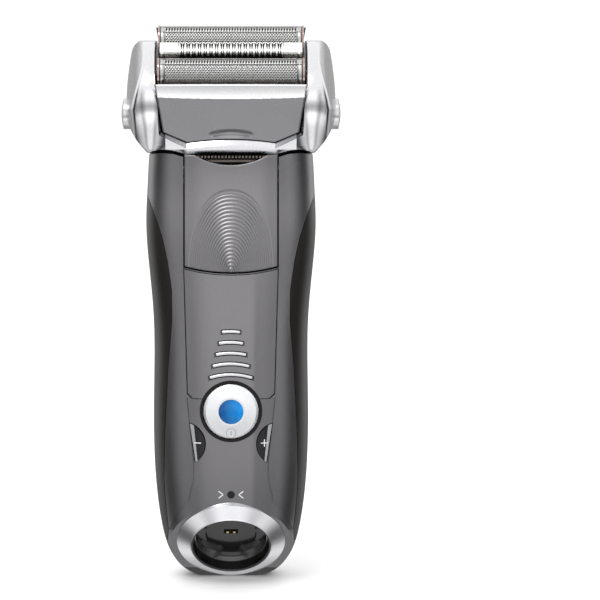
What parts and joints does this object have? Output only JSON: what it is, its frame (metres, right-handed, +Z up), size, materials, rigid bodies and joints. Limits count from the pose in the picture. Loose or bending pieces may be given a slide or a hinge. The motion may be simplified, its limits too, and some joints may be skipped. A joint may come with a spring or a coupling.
{
  "type": "foil shaver",
  "caption": "Cordless electric foil shaver with a swivelling head, twin floating foils and a middle comb, pop-out trimmer, push buttons and a charging socket in its foot.",
  "frame": {"origin": "middle of the footprint, on the surface the shaver stands on", "axes": "+Z up along the handle, -Y towards the front with the buttons, +X to the right seen from the front"},
  "size_m": [0.0646, 0.0398, 0.1662],
  "materials": {
    "grey_shell": "satin metallic grey",
    "black_shell": "gloss black",
    "grip_rubber": "soft satin black",
    "inner_plastic": "matt black",
    "seal_rubber": "matt",
    "bright_trim": "bright silver",
    "mirror_frame": "polished chrome look",
    "panel_silver": "satin silver",
    "cassette_brown": "smoked rose brown",
    "cap_rose": "glossy pale rose",
    "foil_steel": "thin bright foil",
    "blade_steel": "ground",
    "button_silver": "pearl silver",
    "blue_lens": "clear blue",
    "dark_lens": "gloss black",
    "contact_metal": "gold plated",
    "screw_steel": "plain",
    "cell_sleeve": "shrink sleeve",
    "board_green": "solder mask",
    "copper_wire": "enamelled",
    "core_iron": "laminated"
  },
  "bodies": {
    "handle": {"front_shell": "grey_shell", "rear_shell": "black_shell", "shell_seal": "seal_rubber", "left_grip": "grip_rubber", "right_grip": "grip_rubber", "center_cover": "grey_shell", "accent_bars": "bright_trim", "button_bezel": "dark_lens", "indicator_lens": "dark_lens", "end_ring": "bright_trim", "socket_dish": "black_shell", "socket_liner": "bright_trim", "socket_pins": "contact_metal", "rear_contacts": "contact_metal", "chassis": "inner_plastic", "battery_cell": "cell_sleeve", "battery_tabs": "screw_steel", "circuit_board": "board_green", "key_switches": "inner_plastic", "shell_screws": "screw_steel", "neck_bracket": "screw_steel", "pivot_pins": "screw_steel", "trimmer_bay": "inner_plastic"},
    "power_key": {"power_button": "button_silver", "power_lens": "blue_lens"},
    "minus_key": {"minus_button": "dark_lens"},
    "plus_key": {"plus_button": "dark_lens"},
    "trimmer": {"trimmer_slide": "grey_shell", "trimmer_carrier": "inner_plastic", "trimmer_comb": "blade_steel"},
    "trimmer_blade": {"trimmer_cutter": "blade_steel"},
    "head": {"head_frame": "mirror_frame", "head_carrier": "inner_plastic", "motor_core": "core_iron", "motor_winding": "copper_wire", "leaf_springs": "blade_steel", "drive_seal": "seal_rubber", "release_spring_left": "screw_steel", "release_spring_right": "screw_steel"},
    "release_left": {"release_button_left": "panel_silver"},
    "release_right": {"release_button_right": "panel_silver"},
    "drive": {"drive_bridge": "inner_plastic", "drive_magnets": "core_iron"},
    "counterweight": {"counterweights": "core_iron"},
    "cassette": {"cassette_frame": "cassette_brown", "cassette_front_panel": "panel_silver", "cassette_rear_panel": "panel_silver", "foil_front_springs": "screw_steel", "foil_rear_springs": "screw_steel", "comb_springs": "screw_steel"},
    "foil_unit_front": {"foil_front": "foil_steel", "foil_front_holder": "cap_rose"},
    "foil_unit_rear": {"foil_rear": "foil_steel", "foil_rear_holder": "cap_rose"},
    "comb_unit": {"lift_comb": "blade_steel"},
    "blades_front": {"cutter_front": "blade_steel", "cutter_front_block": "inner_plastic"},
    "blades_rear": {"cutter_rear": "blade_steel", "cutter_rear_block": "inner_plastic"},
    "blades_middle": {"mid_cutter": "blade_steel"}
  },
  "joints": [
    {"name": "head_swivel", "type": "hinge", "parent": "handle", "child": "head", "pos_m": [0, 0.0026, 0.1407], "axis": [1, 0, 0], "range_deg": [-20, 8], "stiffness_Nm_per_rad": 0.15},
    {"name": "release_left_press", "type": "slide", "parent": "head", "child": "release_left", "axis": [1, 0, 0], "range_m": [0, 0.0015], "stiffness_N_per_m": 1500, "deforming": ["release_spring_left"]},
    {"name": "release_right_press", "type": "slide", "parent": "head", "child": "release_right", "axis": [-1, 0, 0], "range_m": [0, 0.0015], "stiffness_N_per_m": 1500, "deforming": ["release_spring_right"]},
    {"name": "drive_stroke", "type": "slide", "parent": "head", "child": "drive", "axis": [1, 0, 0], "range_m": [-0.0012, 0.0012], "stiffness_N_per_m": 8000, "deforming": ["leaf_springs"]},
    {"name": "counterweight_stroke", "type": "slide", "parent": "head", "child": "counterweight", "axis": [1, 0, 0], "range_m": [-0.0012, 0.0012]},
    {"name": "cassette_lift", "type": "slide", "parent": "head", "child": "cassette", "axis": [0, -0.5299, 0.848], "range_m": [0, 0.028]},
    {"name": "foil_front_float", "type": "slide", "parent": "cassette", "child": "foil_unit_front", "axis": [0, 0.5299, -0.848], "range_m": [0, 0.0012], "stiffness_N_per_m": 600, "deforming": ["foil_front_springs"]},
    {"name": "foil_rear_float", "type": "slide", "parent": "cassette", "child": "foil_unit_rear", "axis": [0, 0.5299, -0.848], "range_m": [0, 0.0012], "stiffness_N_per_m": 600, "deforming": ["foil_rear_springs"]},
    {"name": "comb_float", "type": "slide", "parent": "cassette", "child": "comb_unit", "axis": [0, 0.5299, -0.848], "range_m": [0, 0.0012], "stiffness_N_per_m": 600, "deforming": ["comb_springs"]},
    {"name": "blades_front_stroke", "type": "slide", "parent": "foil_unit_front", "child": "blades_front", "axis": [1, 0, 0], "range_m": [-0.0012, 0.0012]},
    {"name": "blades_rear_stroke", "type": "slide", "parent": "foil_unit_rear", "child": "blades_rear", "axis": [1, 0, 0], "range_m": [-0.0012, 0.0012]},
    {"name": "blades_middle_stroke", "type": "slide", "parent": "comb_unit", "child": "blades_middle", "axis": [1, 0, 0], "range_m": [-0.0012, 0.0012]},
    {"name": "trimmer_lift", "type": "slide", "parent": "handle", "child": "trimmer", "axis": [0, -0.7071, 0.7071], "range_m": [0, 0.009]},
    {"name": "trimmer_stroke", "type": "slide", "parent": "trimmer", "child": "trimmer_blade", "axis": [1, 0, 0], "range_m": [-0.0012, 0.0012]},
    {"name": "power_press", "type": "slide", "parent": "handle", "child": "power_key", "axis": [0, 1, 0], "range_m": [0, 0.0005], "stiffness_N_per_m": 2500},
    {"name": "minus_press", "type": "slide", "parent": "handle", "child": "minus_key", "axis": [0, 1, 0], "range_m": [0, 0.0005], "stiffness_N_per_m": 2500},
    {"name": "plus_press", "type": "slide", "parent": "handle", "child": "plus_key", "axis": [0, 1, 0], "range_m": [0, 0.0005], "stiffness_N_per_m": 2500}
  ],
  "couplings": [
    {"joint": "counterweight_stroke", "follows": "drive_stroke", "ratio": -1},
    {"joint": "blades_front_stroke", "follows": "drive_stroke", "ratio": 1},
    {"joint": "blades_rear_stroke", "follows": "drive_stroke", "ratio": 1},
    {"joint": "blades_middle_stroke", "follows": "drive_stroke", "ratio": 1},
    {"joint": "trimmer_stroke", "follows": "drive_stroke", "ratio": 1}
  ]
}
